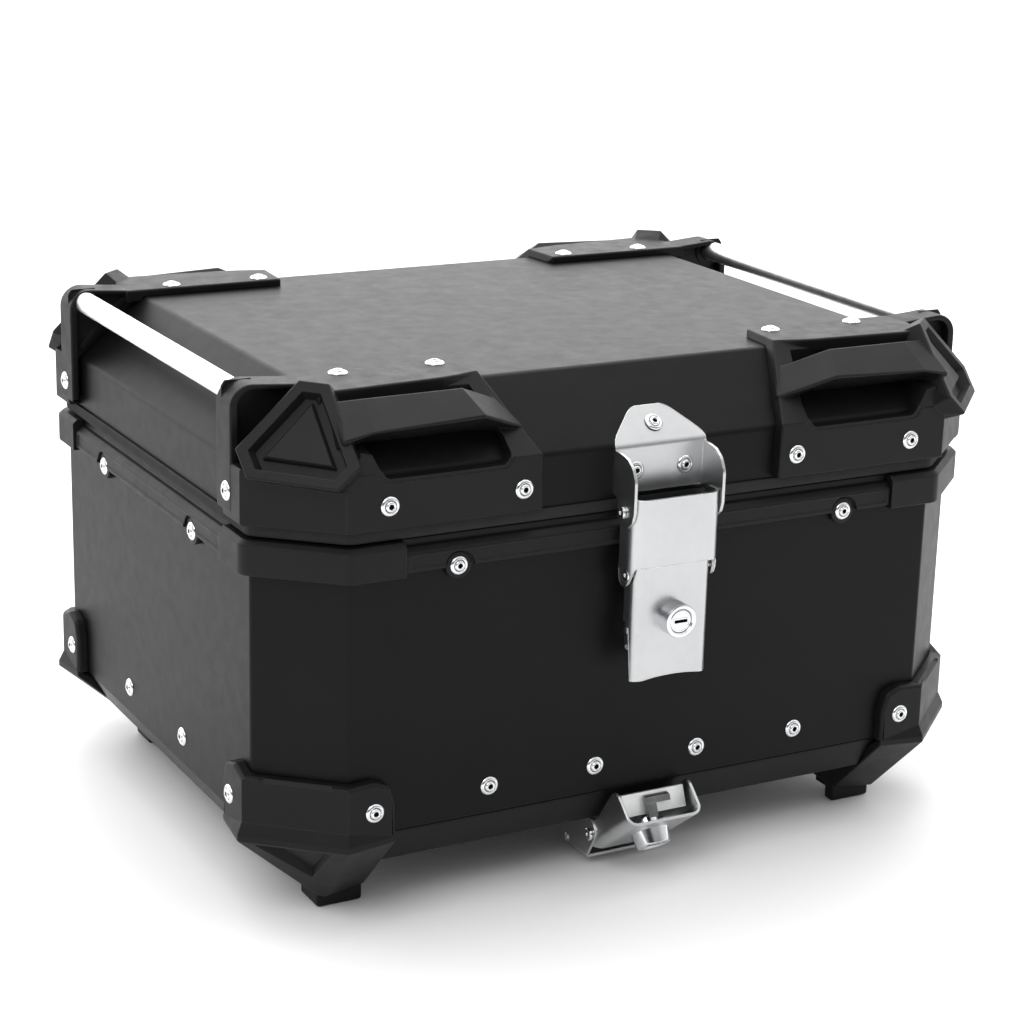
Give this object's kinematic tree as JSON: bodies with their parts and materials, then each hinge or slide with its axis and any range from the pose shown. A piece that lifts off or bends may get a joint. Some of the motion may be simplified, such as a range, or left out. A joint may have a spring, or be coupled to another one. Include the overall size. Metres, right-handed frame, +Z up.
{
  "type": "motorcycle top case",
  "caption": "Riveted eight-sided aluminium box with a hinged lid, plastic corner guards with grab handles, tube rails, a locking draw latch and a keyed quick-release bracket.",
  "frame": {"origin": "centre of the flat pad on the underside of the floor pan", "axes": "+Z up; -Y is the latch side; +X runs along the latch side, to the right when facing it"},
  "size_m": [0.4486, 0.3852, 0.2883],
  "materials": {
    "black_paint": "fine-texture black powder coat, satin",
    "black_plastic": "moulded black nylon with a fine grain, satin-matte",
    "rubber": "matte black rubber",
    "steel": "satin brushed stainless steel with bright cut edges",
    "rail_aluminium": "satin silver anodised tube",
    "lock_chrome": "polished chrome plating"
  },
  "bodies": {
    "body": {"body_wrapper": "black_paint", "floor_pan": "black_paint", "floor_mat": "rubber", "trim_front": "black_plastic", "trim_back": "black_plastic", "trim_left": "black_plastic", "trim_right": "black_plastic", "trim_corner_front_left": "black_plastic", "trim_corner_front_right": "black_plastic", "trim_corner_back_left": "black_plastic", "trim_corner_back_right": "black_plastic", "foot_guard_front_left": "black_plastic", "foot_guard_front_right": "black_plastic", "foot_guard_back_left": "black_plastic", "foot_guard_back_right": "black_plastic", "hinge_body_left": "steel", "hinge_body_right": "steel", "hinge_pin_left": "steel", "hinge_pin_right": "steel", "latch_base": "steel", "mount_bracket": "steel", "release_pivot_pin": "steel", "release_spring": "steel"},
    "lid": {"lid_shell": "black_paint", "lid_seal": "rubber", "lid_guard_front_left": "black_plastic", "lid_guard_front_right": "black_plastic", "lid_guard_back_left": "black_plastic", "lid_guard_back_right": "black_plastic", "rail_left": "rail_aluminium", "rail_right": "rail_aluminium", "hinge_lid_left": "steel", "hinge_lid_right": "steel", "catch_bracket": "steel", "catch_pin": "steel"},
    "latch_sleeve": {"latch_sleeve": "steel", "sleeve_pin": "steel"},
    "latch_lever": {"latch_lever": "steel", "latch_lock_barrel": "lock_chrome"},
    "latch_key": {"latch_lock_plug": "lock_chrome", "latch_cam": "steel"},
    "release_lever": {"release_lever": "steel", "release_catch": "steel", "release_lock_barrel": "lock_chrome"},
    "release_key": {"release_lock_plug": "lock_chrome"}
  },
  "joints": [
    {"name": "lid_hinge", "type": "hinge", "parent": "body", "child": "lid", "pos_m": [0, 0.181, 0.1835], "axis": [-1, 0, 0], "range_deg": [0, 95]},
    {"name": "latch_sleeve_swing", "type": "hinge", "parent": "lid", "child": "latch_sleeve", "pos_m": [0, -0.1823, 0.1821], "axis": [-1, 0, 0], "range_deg": [0, 90]},
    {"name": "latch_lever_swing", "type": "hinge", "parent": "latch_sleeve", "child": "latch_lever", "pos_m": [0, -0.1854, 0.1489], "axis": [-1, 0, 0], "range_deg": [0, 85]},
    {"name": "latch_key_turn", "type": "hinge", "parent": "latch_lever", "child": "latch_key", "pos_m": [0, -0.1994, 0.1245], "axis": [0, -1, 0], "range_deg": [0, 90]},
    {"name": "release_swing", "type": "hinge", "parent": "body", "child": "release_lever", "pos_m": [0, -0.1553, -0.0091], "axis": [1, 0, 0], "range_deg": [0, 35]},
    {"name": "release_key_turn", "type": "hinge", "parent": "release_lever", "child": "release_key", "pos_m": [0, -0.1772, -0.0014], "axis": [0, -0.6141, -0.7892], "range_deg": [0, 90]}
  ]
}
